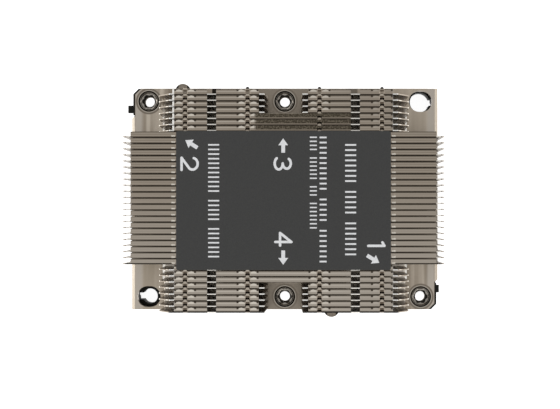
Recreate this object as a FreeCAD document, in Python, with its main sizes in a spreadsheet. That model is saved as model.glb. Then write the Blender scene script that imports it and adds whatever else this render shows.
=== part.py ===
import FreeCAD, Part
import math
import os
import Sketcher

# Passive heatsink for a large rectangular processor socket in a one-unit-high server.
# Frame: origin at the centre of the contact face that meets the processor, +X along the
# fins (the air flow), +Y across them, +Z up. Lengths are in millimetres.

doc = FreeCAD.newDocument("passive_heatsink")

# Driving dimensions
DIMENSIONS = {
    # Base plate and the contact pedestal under it
    "base_length": 108.0,
    "base_width": 78.0,
    "base_thickness": 3.5,
    "pedestal_end_margin": 16.0,
    "pedestal_side_margin": 13.0,
    "pedestal_height": 1.5,
    "pedestal_corner_cut": 1.5,
    "corner_cut": 3.0,
    "end_bevel_width": 1.0,
    "end_bevel_depth": 0.5,
    "ear_recess_depth": 0.9,
    "ear_recess_length": 9.7,
    # Places of the nuts and the guide holes, and the room that a driver needs there
    "fastener_inset_x": 6.0,
    "fastener_inset_y": 4.5,
    "guide_hole_length": 8.3,
    "guide_hole_width": 7.4,
    "corner_clear_foot": 5.5,
    "corner_clear_top": 9.7,
    "corner_slope_height": 6.0,
    "middle_clear_foot": 5.8,
    "middle_clear_top": 6.4,
    # Captive nuts with a six-lobe drive
    "nut_head_diameter": 6.7,
    "nut_head_height": 2.7,
    "nut_shank_diameter": 5.9,
    "nut_below_plate": 3.4,
    "nut_bore_diameter": 3.5,
    "nut_head_clearance": 0.3,
    "nut_shank_clearance": 0.2,
    "drive_point_width": 5.6,
    "drive_root_diameter": 4.1,
    "drive_depth": 2.1,
    # Flattened heat pipes soldered into the top of the plate
    "pipe_width": 5.5,
    "pipe_thickness": 2.6,
    "pipe_bend_radius": 11.0,
    "pipe_leg_offset": 8.0,
    "pipe_tail_margin": 20.5,
    "pipe_solder_gap": 0.15,
    "rear_pipe_margin": 18.0,
    "rear_pipe_overhang": 1.7,
    "front_pipe_place": 16.5,
    "front_pipe_overhang": 2.7,
    # Folded sheet fins
    "fin_height": 20.5,
    "fin_sheet": 0.4,
    "fin_seam_gap": 0.18,
    "rear_fin_margin": 4.13,
    "front_fin_margin": 0.718,
    "full_fin_corner_cut": 1.2,
    "full_flange_setback": 2.7,
    "short_flange_setback": 1.6,
    "middle_flange_setback": 1.95,
    "flange_break_offset": 1.0,
    "flange_break_width": 0.6,
    "flange_slot_offset": 1.575,
    "flange_slot_width": 3.0,
    # Interlocking tabs of the fins' top flanges
    "lock_inset": 3.7,
    "lock_tab_width": 1.3,
    "lock_tab_tip_width": 0.8,
    "lock_tab_length": 0.75,
    "lock_window_side_gap": 0.1,
    "lock_window_end_gap": 0.45,
    # Label on top of the fins
    "label_end_margin": 18.0,
    "label_side_margin": 15.7,
    "label_thickness": 0.15,
    "label_shift_y": -0.8,
    # Moulded carrier that holds the processor under the plate
    "carrier_side_margin": 0.4,
    "carrier_plate": 1.2,
    "carrier_depth": 5.5,
    "carrier_wall": 1.2,
    "carrier_window_end_gap": 1.0,
    "carrier_window_side_gap": 2.8,
    "carrier_nut_notch": 8.4,
    "carrier_ledge_length": 12.0,
    "carrier_ledge_reach": 0.8,
    "carrier_ledge_height": 0.8,
    "carrier_slip": 0.05,
    "latch_wall_drop": 0.5,
    "latch_wall_thickness": 0.45,
    "latch_tab_inset": 8.5,
    "latch_tab_width": 2.6,
    "latch_tab_height": 1.8,
    "latch_tab_rise": 0.5,
    "rear_latch_tab_reach": 1.9,
    "front_latch_tab_reach": 1.0,
    "latch_barb_reach": 0.5,
    "latch_barb_clearance": 0.1,
    "guide_boss_diameter": 8.0,
    "large_guide_diameter": 7.0,
    "small_guide_diameter": 5.3,
    "guide_slot_width": 2.4,
    "large_guide_slot_reach": 0.6,
    "small_guide_slot_reach": 1.4,
}

sheet = doc.addObject("Spreadsheet::Sheet", "Dimensions")
for row, (alias, number) in enumerate(DIMENSIONS.items(), start=1):
    sheet.set(f"A{row}", alias.replace("_", " "))
    sheet.set(f"B{row}", str(number))
    sheet.setAlias(f"B{row}", alias)
doc.recompute()


class Size:
    """A length that knows both its number and the sheet expression that gives it."""

    def __init__(self, value, text):
        self.value = value
        self.text = text

    def __add__(self, other):
        other = as_size(other)
        return Size(self.value + other.value, f"({self.text} + {other.text})")

    def __sub__(self, other):
        other = as_size(other)
        return Size(self.value - other.value, f"({self.text} - {other.text})")

    def __mul__(self, other):
        other = as_size(other)
        return Size(self.value * other.value, f"({self.text} * {other.text})")

    def __truediv__(self, other):
        other = as_size(other)
        return Size(self.value / other.value, f"({self.text} / {other.text})")

    def __neg__(self):
        return Size(-self.value, f"(-1 * {self.text})")


def as_size(thing):
    if isinstance(thing, Size):
        return thing
    return Size(float(thing), repr(float(thing)))


def size(alias):
    return Size(float(sheet.get(alias)), f"Dimensions.{alias}")


def half(alias):
    return size(alias) / 2


def bind(thing, property_path, length):
    thing.setExpression(property_path, as_size(length).text)


ZERO = as_size(0)
TOLERANCE = 1e-4
CUT_OVERSHOOT = 1
SQUARE_ROOT_OF_TWO = math.sqrt(2)
ALONG_Z = FreeCAD.Vector(0, 0, 1)

# Sketch helpers


def new_body(name):
    body = doc.addObject("PartDesign::Body", name)
    body.Label = name
    return body


def new_sketch(body, name, plane_role, height=0):
    """A sketch on one of the body's own origin planes, raised along its normal by height."""
    plane = [item for item in body.Origin.OriginFeatures if item.Role == plane_role][0]
    sketch = body.newObject("Sketcher::SketchObject", f"{body.Name}_{name}")
    sketch.AttachmentSupport = [(plane, "")]
    sketch.MapMode = "FlatFace"
    bind(sketch, "AttachmentOffset.Base.z", height)
    return sketch


def sketch_point(x, y):
    return FreeCAD.Vector(x.value, y.value, 0)


def pin_point(sketch, geometry, position, x, y):
    """Fix one point of a sketch to sheet sizes, measured from the sketch's origin."""
    horizontal_axis = -1
    vertical_axis = -2
    for kind, place, axis in (("DistanceX", x, vertical_axis), ("DistanceY", y, horizontal_axis)):
        if abs(place.value) < TOLERANCE:
            sketch.addConstraint(Sketcher.Constraint("PointOnObject", geometry, position, axis))
        else:
            constraint = Sketcher.Constraint(kind, -1, 1, geometry, position, place.value)
            index = sketch.addConstraint(constraint)
            bind(sketch, f"Constraints[{index}]", place)


def fix_radius(sketch, geometry, radius):
    index = sketch.addConstraint(Sketcher.Constraint("Radius", geometry, radius.value))
    bind(sketch, f"Constraints[{index}]", radius)


def draw_line(sketch, start, end):
    return sketch.addGeometry(Part.LineSegment(sketch_point(*start), sketch_point(*end)))


def draw_outline(sketch, corners):
    """A closed outline of straight lines through corners given as pairs of sizes."""
    corners = [(as_size(x), as_size(y)) for x, y in corners]
    count = len(corners)
    lines = []
    for index, corner in enumerate(corners):
        lines.append(draw_line(sketch, corner, corners[(index + 1) % count]))
    for index, line in enumerate(lines):
        following = lines[(index + 1) % count]
        sketch.addConstraint(Sketcher.Constraint("Coincident", line, 2, following, 1))
    for line, (x, y) in zip(lines, corners):
        pin_point(sketch, line, 1, x, y)


def draw_box(sketch, left, right, low, high):
    draw_outline(sketch, [(left, low), (right, low), (right, high), (left, high)])


def draw_circle(sketch, x, y, radius):
    circle = sketch.addGeometry(Part.Circle(sketch_point(x, y), ALONG_Z, radius.value))
    fix_radius(sketch, circle, radius)
    pin_point(sketch, circle, 3, x, y)


def draw_arc(sketch, x, y, radius, start, end):
    circle = Part.Circle(sketch_point(x, y), ALONG_Z, radius.value)
    arc = sketch.addGeometry(Part.ArcOfCircle(circle, math.radians(start), math.radians(end)))
    fix_radius(sketch, arc, radius)
    pin_point(sketch, arc, 3, x, y)
    return arc


def join_smoothly(sketch, chain):
    """Tangent joints along a chain of (geometry, first point, last point)."""
    for (geometry, _, last), (following, first, _) in zip(chain, chain[1:]):
        sketch.addConstraint(Sketcher.Constraint("Tangent", geometry, last, following, first))


def draw_slot(sketch, x, y, length, width):
    """An oblong with round ends, long along the sketch's X."""
    radius = width / 2
    reach = (length - width) / 2
    left = draw_arc(sketch, x - reach, y, radius, 90, 270)
    low = draw_line(sketch, (x - reach, y - radius), (x + reach, y - radius))
    right = draw_arc(sketch, x + reach, y, radius, -90, 90)
    high = draw_line(sketch, (x + reach, y + radius), (x - reach, y + radius))
    join_smoothly(sketch, [(piece, 1, 2) for piece in (left, low, right, high, left)])


# Feature helpers


def add_pad(body, sketch, length, against_normal=False, symmetric=False):
    pad = body.newObject("PartDesign::Pad", f"{sketch.Name}_pad")
    pad.Profile = sketch
    pad.Reversed = against_normal
    if symmetric:
        pad.SideType = "Symmetric"
    bind(pad, "Length", length)
    doc.recompute()
    return pad


def add_pocket(body, sketch, length, along_normal=False):
    """A cut of a given depth, against the sketch's normal unless along_normal is set."""
    volume = body.Shape.Volume
    pocket = body.newObject("PartDesign::Pocket", f"{sketch.Name}_pocket")
    pocket.Profile = sketch
    pocket.Reversed = along_normal
    bind(pocket, "Length", length)
    doc.recompute()
    expect_less(body, volume, pocket)
    return pocket


def add_cut_through(body, sketch):
    """A cut right through the body, both ways from the sketch."""
    volume = body.Shape.Volume
    pocket = body.newObject("PartDesign::Pocket", f"{sketch.Name}_cut")
    pocket.Profile = sketch
    pocket.SideType = "Symmetric"
    pocket.Type = "ThroughAll"
    doc.recompute()
    expect_less(body, volume, pocket)
    return pocket


def expect_less(body, volume, feature):
    if body.Shape.Volume >= volume:
        raise RuntimeError(f"{feature.Name} cut nothing")


# Levels and places that several pieces share

plate_underside = size("pedestal_height")
plate_top = plate_underside + size("base_thickness")
half_length = half("base_length")
half_width = half("base_width")
pedestal_reach_x = half_length - size("pedestal_end_margin")
pedestal_reach_y = half_width - size("pedestal_side_margin")
label_reach_x = half_length - size("label_end_margin")
label_reach_y = half_width - size("label_side_margin")
fastener_x = half_length - size("fastener_inset_x")
fastener_y = half_width - size("fastener_inset_y")
NUT_PLACES = {
    "nut_rear_left": (-fastener_x, fastener_y),
    "nut_front_right": (fastener_x, -fastener_y),
    "nut_rear_middle": (ZERO, fastener_y),
    "nut_front_middle": (ZERO, -fastener_y),
}
GUIDE_PLACES = [(fastener_x, fastener_y), (-fastener_x, -fastener_y)]
nut_seat_radius = half("nut_head_diameter") + size("nut_head_clearance")
nut_hole_radius = half("nut_shank_diameter") + size("nut_shank_clearance")
ear_face = half_length - size("ear_recess_depth")
barb_tip = ear_face - size("latch_barb_reach")
recess_start = half_width - size("ear_recess_length")
latch_near = half_width - size("latch_tab_inset")
latch_far = latch_near + size("latch_tab_width")
latch_low = plate_underside + size("latch_tab_rise")
latch_high = latch_low + size("latch_tab_height")
PIPES = [
    ("heat_pipe_rear", 1, half_length - size("rear_pipe_margin"), size("rear_pipe_overhang")),
    ("heat_pipe_front", -1, size("front_pipe_place"), size("front_pipe_overhang")),
]

# Heat pipes


def draw_pipe_plan(sketch, side, place, overhang, gap):
    """The plan of one pipe: a round nose at the plate's edge, a bend, a leg along the fins.

    side is 1 for the pipe that enters over the rear edge and -1 for the one over the front edge,
    which is turned half round the centre. gap widens the plan for the groove.
    """
    radius = half("pipe_width") + gap
    bend = size("pipe_bend_radius")
    leg_x = -place
    leg_y = size("pipe_leg_offset")
    nose_y = half_width + overhang - half("pipe_width")
    tail_x = half_length - size("pipe_tail_margin") + gap
    turn = 0 if side > 0 else 180

    def arc(x, y, arc_radius, start, end):
        return draw_arc(sketch, x * side, y * side, arc_radius, start + turn, end + turn)

    def line(start, end):
        start_point = (start[0] * side, start[1] * side)
        end_point = (end[0] * side, end[1] * side)
        return draw_line(sketch, start_point, end_point)

    nose = arc(leg_x, nose_y, radius, 0, 180)
    outer_bend = arc(leg_x + bend, leg_y + bend, bend + radius, 180, 270)
    tail = line((tail_x, leg_y - radius), (tail_x, leg_y + radius))
    inner_bend = arc(leg_x + bend, leg_y + bend, bend - radius, 180, 270)
    outer_leg = line((leg_x - radius, nose_y), (leg_x - radius, leg_y + bend))
    low_run = line((leg_x + bend, leg_y - radius), (tail_x, leg_y - radius))
    high_run = line((tail_x, leg_y + radius), (leg_x + bend, leg_y + radius))
    inner_leg = line((leg_x + radius, leg_y + bend), (leg_x + radius, nose_y))
    sketch.addConstraint(Sketcher.Constraint("Coincident", low_run, 2, tail, 1))
    sketch.addConstraint(Sketcher.Constraint("Coincident", tail, 2, high_run, 1))
    sketch.addConstraint(Sketcher.Constraint("Vertical", tail))
    pin_point(sketch, tail, 1, tail_x * side, (leg_y - radius) * side)
    forward = [(piece, 1, 2) for piece in (nose, outer_leg, outer_bend, low_run)]
    backward = [(high_run, 1, 2), (inner_bend, 2, 1), (inner_leg, 1, 2), (nose, 1, 2)]
    join_smoothly(sketch, forward)
    join_smoothly(sketch, backward)


def build_heat_pipe(name, side, place, overhang):
    body = new_body(name)
    floor = plate_top - size("pipe_thickness")
    plan = new_sketch(body, "plan", "XY_Plane", floor)
    draw_pipe_plan(plan, side, place, overhang, ZERO)
    add_pad(body, plan, size("pipe_thickness"))
    return body


# Base plate


def base_plan():
    """Plan of the plate: two opposite cut corners, each beside a shallow recess for a latch."""
    cut = size("corner_cut")
    recess = size("ear_recess_depth")
    one_half = [
        (ear_face, -recess_start),
        (half_length, recess - recess_start),
        (half_length, half_width),
        (cut - half_length, half_width),
        (-ear_face, half_width - cut + recess),
    ]
    return one_half + [(-x, -y) for x, y in one_half]


def build_base_plate():
    body = new_body("base_plate")
    plan = new_sketch(body, "plan", "XY_Plane", plate_underside)
    draw_outline(plan, base_plan())
    add_pad(body, plan, size("base_thickness"))

    pedestal = new_sketch(body, "pedestal", "XY_Plane")
    trim = size("pedestal_corner_cut")
    one_half = [
        (pedestal_reach_x, trim - pedestal_reach_y),
        (pedestal_reach_x, pedestal_reach_y - trim),
        (pedestal_reach_x - trim, pedestal_reach_y),
        (trim - pedestal_reach_x, pedestal_reach_y),
    ]
    draw_outline(pedestal, one_half + [(-x, -y) for x, y in one_half])
    add_pad(body, pedestal, size("pedestal_height"))

    bevel = new_sketch(body, "end_bevel", "XZ_Plane")
    above = plate_top + CUT_OVERSHOOT
    beyond = half_length + CUT_OVERSHOOT
    bevel_start = half_length - size("end_bevel_width")
    bevel_foot = plate_top - size("end_bevel_depth")
    bevel_corners = [
        (bevel_start, plate_top),
        (bevel_start, above),
        (beyond, above),
        (beyond, bevel_foot),
        (half_length, bevel_foot),
    ]
    for side in (1, -1):
        draw_outline(bevel, [(x * side, z) for x, z in bevel_corners])
    add_cut_through(body, bevel)

    seats = new_sketch(body, "nut_seats", "XY_Plane", plate_top)
    holes = new_sketch(body, "nut_holes", "XY_Plane", plate_top)
    for x, y in NUT_PLACES.values():
        draw_circle(seats, x, y, nut_seat_radius)
        draw_circle(holes, x, y, nut_hole_radius)
    add_pocket(body, seats, size("nut_head_height"))
    add_pocket(body, holes, size("base_thickness"))

    guides = new_sketch(body, "guide_holes", "XY_Plane", plate_top)
    for x, y in GUIDE_PLACES:
        draw_slot(guides, x, y, size("guide_hole_length"), size("guide_hole_width"))
    add_pocket(body, guides, size("base_thickness"))

    for name, side, place, overhang in PIPES:
        groove = new_sketch(body, f"{name}_groove", "XY_Plane", plate_top)
        draw_pipe_plan(groove, side, place, overhang, size("pipe_solder_gap"))
        add_pocket(body, groove, size("pipe_thickness"))

    clearance = size("latch_barb_clearance")
    slot_near = latch_near - clearance
    slot_far = latch_far + clearance
    for name, side, start in (("front", 1, slot_near), ("rear", -1, -slot_far)):
        slot = new_sketch(body, f"{name}_latch_slot", "XZ_Plane", start)
        left = (barb_tip - clearance) * side
        draw_box(slot, left, beyond * side, latch_low - clearance, latch_high + clearance)
        add_pocket(body, slot, slot_far - slot_near, along_normal=True)
    return body


# Processor carrier


def carrier_plan(inset):
    """Outline of the carrier, which passes just outside the plate's two cut corners."""
    x = half_length - size("carrier_side_margin") - inset
    y = half_width - size("carrier_side_margin") - inset
    diagonal = half_length + half_width - size("corner_cut")
    diagonal = diagonal + (size("latch_wall_thickness") - inset) * SQUARE_ROOT_OF_TWO
    trim = size("corner_cut")
    one_half = [
        (x, x - diagonal),
        (x, y - trim),
        (x - trim, y),
        (y - diagonal, y),
    ]
    return one_half + [(-place_x, -place_y) for place_x, place_y in one_half]


def latch_wall_plan(side):
    """Plan of the thin wall that wraps one cut corner, from the ear's recess round to the edge."""
    inner_x = ear_face + size("carrier_slip")
    outer_x = inner_x + size("latch_wall_thickness")
    start = recess_start + half("ear_recess_depth")
    inner_diagonal = half_length + half_width - size("corner_cut")
    inner_diagonal = inner_diagonal + size("carrier_slip") * SQUARE_ROOT_OF_TWO
    outer_diagonal = inner_diagonal + size("latch_wall_thickness") * SQUARE_ROOT_OF_TWO
    corners = [
        (-inner_x, start),
        (-inner_x, inner_diagonal - inner_x),
        (half_width - inner_diagonal, half_width),
        (half_width - outer_diagonal, half_width),
        (-outer_x, outer_diagonal - outer_x),
        (-outer_x, start),
    ]
    return [(x * side, y * side) for x, y in corners]


def build_carrier():
    body = new_body("processor_carrier")
    under = plate_underside - size("carrier_plate")
    bottom = plate_underside - size("carrier_depth")
    skirt = size("carrier_depth") - size("carrier_plate")
    wall = size("carrier_wall")
    window_x = pedestal_reach_x + size("carrier_window_end_gap")
    window_y = pedestal_reach_y + size("carrier_window_side_gap")

    plate = new_sketch(body, "plate", "XY_Plane", under)
    draw_outline(plate, carrier_plan(ZERO))
    draw_box(plate, -window_x, window_x, -window_y, window_y)
    add_pad(body, plate, size("carrier_plate"))

    outer_wall = new_sketch(body, "outer_wall", "XY_Plane", under)
    draw_outline(outer_wall, carrier_plan(ZERO))
    draw_outline(outer_wall, carrier_plan(wall))
    add_pad(body, outer_wall, skirt, against_normal=True)

    window_wall = new_sketch(body, "window_wall", "XY_Plane", under)
    draw_box(window_wall, -window_x - wall, window_x + wall, -window_y - wall, window_y + wall)
    draw_box(window_wall, -window_x, window_x, -window_y, window_y)
    add_pad(body, window_wall, skirt, against_normal=True)

    bosses = new_sketch(body, "guide_bosses", "XY_Plane", under)
    for x, y in GUIDE_PLACES:
        draw_circle(bosses, x, y, half("guide_boss_diameter"))
    add_pad(body, bosses, skirt, against_normal=True)

    nut_notches = new_sketch(body, "nut_notches", "XY_Plane", plate_underside)
    notch_half = half("carrier_nut_notch")
    notch_start = fastener_y - notch_half
    for x, side in ((-fastener_x, 1), (fastener_x, -1), (ZERO, 1), (ZERO, -1)):
        near_y = notch_start * side
        far_y = (half_width + CUT_OVERSHOOT) * side
        draw_box(nut_notches, x - notch_half, x + notch_half, near_y, far_y)
    add_pocket(body, nut_notches, size("carrier_depth"))

    guide_bores = new_sketch(body, "guide_bores", "XY_Plane", plate_underside)
    key_slots = new_sketch(body, "guide_key_slots", "XY_Plane", plate_underside)
    slot_half = half("guide_slot_width")
    for (x, y), name, side in zip(GUIDE_PLACES, ("large", "small"), (1, -1)):
        radius = half(f"{name}_guide_diameter")
        draw_circle(guide_bores, x, y, radius)
        slot_end = x + (radius + size(f"{name}_guide_slot_reach")) * side
        draw_box(key_slots, x, slot_end, y - slot_half, y + slot_half)
    add_pocket(body, guide_bores, size("carrier_depth"))
    add_pocket(body, key_slots, size("carrier_depth"))

    latch_walls = new_sketch(body, "latch_walls", "XY_Plane", under)
    for side in (1, -1):
        draw_outline(latch_walls, latch_wall_plan(side))
    rise = size("carrier_plate") + size("base_thickness") - size("latch_wall_drop")
    add_pad(body, latch_walls, rise)

    latch_tabs = new_sketch(body, "latch_tabs", "XY_Plane", latch_low)
    outer_face = ear_face + size("carrier_slip") + size("latch_wall_thickness")
    rear_reach = outer_face + size("rear_latch_tab_reach")
    front_reach = outer_face + size("front_latch_tab_reach")
    draw_box(latch_tabs, -rear_reach, -barb_tip, latch_near, latch_far)
    draw_box(latch_tabs, barb_tip, front_reach, -latch_far, -latch_near)
    add_pad(body, latch_tabs, size("latch_tab_height"))

    ledges = new_sketch(body, "ledges", "XY_Plane", bottom)
    ledge_half = half("carrier_ledge_length")
    for side in (1, -1):
        inner = (window_x - size("carrier_ledge_reach")) * side
        draw_box(ledges, inner, (window_x + wall / 2) * side, -ledge_half, ledge_half)
    add_pad(body, ledges, size("carrier_ledge_height"))
    return body


# Captive nuts


def drive_plan():
    """Plan of the six-lobe drive: each lobe has a flat tip, and a sharp root follows it."""
    lobes = 6
    tip_half_angle = 13
    corners = []
    for lobe in range(lobes):
        tip_angle = lobe * 360 / lobes
        root_angle = tip_angle + 180 / lobes
        for radius, angle in (
            (half("drive_point_width"), tip_angle - tip_half_angle),
            (half("drive_point_width"), tip_angle + tip_half_angle),
            (half("drive_root_diameter"), root_angle),
        ):
            turn = math.radians(angle)
            corners.append((radius * math.cos(turn), radius * math.sin(turn)))
    return corners


def build_nut():
    """One nut about its own axis, with heights counted from the contact face."""
    body = new_body("nut_pattern")
    bore = half("nut_bore_diameter")
    shank = half("nut_shank_diameter")
    head = half("nut_head_diameter")
    bottom = plate_underside - size("nut_below_plate")
    shoulder = plate_top - size("nut_head_height")
    section = new_sketch(body, "section", "XZ_Plane")
    corners = [
        (bore, bottom),
        (shank, bottom),
        (shank, shoulder),
        (head, shoulder),
        (head, plate_top),
        (bore, plate_top),
    ]
    draw_outline(section, corners)
    turning = body.newObject("PartDesign::Revolution", "nut_turning")
    turning.Profile = section
    turning.ReferenceAxis = (section, ["V_Axis"])
    turning.Angle = 360
    doc.recompute()

    drive = new_sketch(body, "drive", "XY_Plane", plate_top)
    draw_outline(drive, drive_plan())
    add_pocket(body, drive, size("drive_depth"))
    return body


# Fins

ROWS = ["split"] * 4 + ["short"] * 3 + ["full"] * 22 + ["short"] * 3 + ["split"] * 5
first_fin_y = half_width - size("rear_fin_margin")
last_fin_y = size("front_fin_margin") - half_width
fin_pitch = (first_fin_y - last_fin_y) / (len(ROWS) - 1)
flange_edge = fin_pitch - half("fin_sheet") - size("fin_seam_gap")
sheet_half = half("fin_sheet")
lock_tab_tip = flange_edge + size("lock_tab_length")
fin_height = size("fin_height")
short_reach = fastener_x - size("corner_clear_foot")
short_top_reach = fastener_x - size("corner_clear_top")
short_flange_end = short_top_reach - size("short_flange_setback")
split_flange_start = size("middle_clear_top") + size("middle_flange_setback")
inner_lock_place = split_flange_start + size("lock_inset")
outer_lock_place = short_flange_end - size("lock_inset")


def build_fin(name, full, sides, tabbed, windowed):
    """One fin folded from flat sheet: an upright wall with a flange at its top and its foot.

    The wall stands in the body's XZ plane and both flanges point towards +Y. A full fin is as
    long as the plate; a short one leaves the corner nuts free. sides holds 1 and -1, or just one
    of them for a fin that the room over a middle nut cuts in two. tabbed fins reach into the fin
    behind them, and windowed ones take the tabs of the fin in front.
    """
    body = new_body(name)
    reach = half_length if full else short_reach
    top_reach = half_length - size("full_fin_corner_cut") if full else short_top_reach
    slope = size("full_fin_corner_cut") if full else size("corner_slope_height")
    flange_end = half_length - size("full_flange_setback") if full else short_flange_end
    beyond = reach + CUT_OVERSHOOT

    section = new_sketch(body, "section", "YZ_Plane")
    sheet_top = fin_height - size("fin_sheet")
    corners = [
        (-sheet_half, ZERO),
        (flange_edge, ZERO),
        (flange_edge, size("fin_sheet")),
        (sheet_half, size("fin_sheet")),
        (sheet_half, sheet_top),
        (flange_edge, sheet_top),
        (flange_edge, fin_height),
        (-sheet_half, fin_height),
    ]
    draw_outline(section, corners)
    add_pad(body, section, reach * 2, symmetric=True)

    ends = new_sketch(body, "ends", "XZ_Plane")
    above = fin_height + CUT_OVERSHOOT
    end_corners = [
        (top_reach, fin_height),
        (top_reach, above),
        (beyond, above),
        (beyond, fin_height - slope),
        (reach, fin_height - slope),
    ]
    for side in (1, -1):
        draw_outline(ends, [(x * side, z) for x, z in end_corners])
    add_cut_through(body, ends)

    flange_cuts = new_sketch(body, "flange_cuts", "XY_Plane", fin_height)
    outside = flange_edge + CUT_OVERSHOOT
    cuts = [(flange_end, beyond)]
    if full:
        break_half = half("flange_break_width")
        break_place = label_reach_x + size("flange_break_offset")
        cuts.append((break_place - break_half, break_place + break_half))
    else:
        slot_half = half("flange_slot_width")
        slot_place = (inner_lock_place + outer_lock_place) / 2 + size("flange_slot_offset")
        cuts.append((slot_place - slot_half, slot_place + slot_half))
    if len(sides) == 1:
        gap_foot = size("middle_clear_foot")
        gap_top = size("middle_clear_top")
        gap = new_sketch(body, "driver_gap", "XZ_Plane")
        below = as_size(-CUT_OVERSHOOT)
        gap_corners = [(-beyond, below), (gap_foot, below), (gap_top, above), (-beyond, above)]
        draw_outline(gap, [(x * sides[0], z) for x, z in gap_corners])
        add_cut_through(body, gap)
        cuts.append((gap_foot - CUT_OVERSHOOT, split_flange_start))
    for side in sides:
        for near, far in cuts:
            draw_box(flange_cuts, near * side, far * side, sheet_half, outside)
    add_pocket(body, flange_cuts, size("fin_sheet"))
    places = [place * side for place in (inner_lock_place, outer_lock_place) for side in sides]
    if tabbed:
        add_lock_tabs(body, places)
    if windowed:
        add_lock_windows(body, places)
    return body


def add_lock_tabs(body, places):
    """Tapered tabs on the free edge of the top flange."""
    tabs = new_sketch(body, "lock_tabs", "XY_Plane", fin_height)
    root_half = half("lock_tab_width")
    tip_half = half("lock_tab_tip_width")
    for place in places:
        tab_corners = [
            (place - root_half, flange_edge),
            (place + root_half, flange_edge),
            (place + tip_half, lock_tab_tip),
            (place - tip_half, lock_tab_tip),
        ]
        draw_outline(tabs, tab_corners)
    add_pad(body, tabs, size("fin_sheet"), against_normal=True)


def add_lock_windows(body, places):
    """Windows in the bend of the top flange, one for each tab of the fin in front."""
    windows = new_sketch(body, "lock_windows", "XY_Plane", fin_height)
    window_half = half("lock_tab_width") + size("lock_window_side_gap")
    window_start = -sheet_half - CUT_OVERSHOOT
    window_end = lock_tab_tip - fin_pitch + size("lock_window_end_gap")
    for place in places:
        left = place - window_half
        draw_box(windows, left, place + window_half, window_start, window_end)
    add_pocket(body, windows, size("fin_sheet"))


def place_copy(name, pattern, x, y, z):
    """A linked copy of a pattern body, placed by sheet sizes."""
    copy = doc.addObject("App::Link", name)
    copy.LinkedObject = pattern
    copy.Label = name
    bind(copy, "Placement.Base.x", x)
    bind(copy, "Placement.Base.y", y)
    bind(copy, "Placement.Base.z", z)
    return copy


def build_fin_stack():
    """All fins from the rear edge to the front one.

    The label covers the flanges of the full fins, so only the first of them carries lock tabs.
    """
    full = build_fin("full_fin_pattern", True, [1, -1], False, False)
    first_full = build_fin("first_full_fin_pattern", True, [1, -1], True, False)
    short = build_fin("short_fin_pattern", False, [1, -1], True, True)
    covered_short = build_fin("covered_short_fin_pattern", False, [1, -1], False, True)
    left = build_fin("left_fin_pattern", False, [-1], True, True)
    right = build_fin("right_fin_pattern", False, [1], True, True)
    first_full_row = ROWS.index("full")
    first_front_row = first_full_row + ROWS.count("full")
    pieces = []
    for row, kind in enumerate(ROWS):
        y = first_fin_y - fin_pitch * row
        name = f"fin_{row + 1:02d}"
        if kind == "split":
            pieces.append(place_copy(f"{name}_left", left, ZERO, y, plate_top))
            pieces.append(place_copy(f"{name}_right", right, ZERO, y, plate_top))
            continue
        if kind == "short":
            pattern = covered_short if row == first_front_row else short
        else:
            pattern = first_full if row == first_full_row else full
        pieces.append(place_copy(name, pattern, ZERO, y, plate_top))
    return pieces


# Label


def build_label():
    body = new_body("label")
    middle_y = size("label_shift_y")
    low = middle_y - label_reach_y
    plan = new_sketch(body, "plan", "XY_Plane", plate_top + fin_height)
    draw_box(plan, -label_reach_x, label_reach_x, low, middle_y + label_reach_y)
    add_pad(body, plan, size("label_thickness"))
    return body


# Assembly

pieces = [build_base_plate()]
for pipe in PIPES:
    pieces.append(build_heat_pipe(*pipe))
pieces.extend(build_fin_stack())
pieces.append(build_label())
pieces.append(build_carrier())
nut = build_nut()
for nut_name, (nut_x, nut_y) in NUT_PLACES.items():
    pieces.append(place_copy(nut_name, nut, nut_x, nut_y, ZERO))
doc.recompute()

for item in doc.Objects:
    if "Invalid" in item.State or "Error" in item.State:
        raise RuntimeError(f"{item.Label} failed: {item.State}")
for piece in pieces:
    if piece.Shape.isNull() or not piece.Shape.isValid():
        raise RuntimeError(f"{piece.Label} has no valid shape")

os.makedirs("parts", exist_ok=True)
for piece in pieces:
    piece.Shape.exportStep(os.path.join("parts", f"{piece.Label}.step"))
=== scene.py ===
import math
import bmesh
import bpy
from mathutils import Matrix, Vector


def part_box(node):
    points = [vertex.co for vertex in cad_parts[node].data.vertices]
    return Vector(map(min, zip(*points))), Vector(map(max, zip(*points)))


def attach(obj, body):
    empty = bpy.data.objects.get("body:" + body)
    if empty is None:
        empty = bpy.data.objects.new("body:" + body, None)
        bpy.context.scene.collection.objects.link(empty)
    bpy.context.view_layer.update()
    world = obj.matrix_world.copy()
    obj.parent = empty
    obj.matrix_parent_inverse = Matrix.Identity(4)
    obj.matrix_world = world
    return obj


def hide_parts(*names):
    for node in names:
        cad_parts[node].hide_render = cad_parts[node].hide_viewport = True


# Looks of the passive server heatsink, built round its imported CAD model. Lengths are in metres.

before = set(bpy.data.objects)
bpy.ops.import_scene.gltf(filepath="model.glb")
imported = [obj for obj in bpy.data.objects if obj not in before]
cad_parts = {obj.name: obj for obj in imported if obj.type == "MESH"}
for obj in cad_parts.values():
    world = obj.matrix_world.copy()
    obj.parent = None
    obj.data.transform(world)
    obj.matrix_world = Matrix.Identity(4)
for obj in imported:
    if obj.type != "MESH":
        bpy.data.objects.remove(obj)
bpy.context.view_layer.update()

MM = 0.001
NUTS = {
    "nut_rear_left": "rear_left_nut",
    "nut_front_right": "front_right_nut",
    "nut_rear_middle": "rear_middle_nut",
    "nut_front_middle": "front_middle_nut",
}

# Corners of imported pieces
plate_low, plate_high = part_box("base_plate")
fin_low, fin_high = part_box("fin_09")
next_fin_low, next_fin_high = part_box("fin_10")
label_low, label_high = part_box("label")
carrier_low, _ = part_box("processor_carrier")
rear_pipe_low, rear_pipe_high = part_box("heat_pipe_rear")
front_pipe_low, front_pipe_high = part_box("heat_pipe_front")

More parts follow.
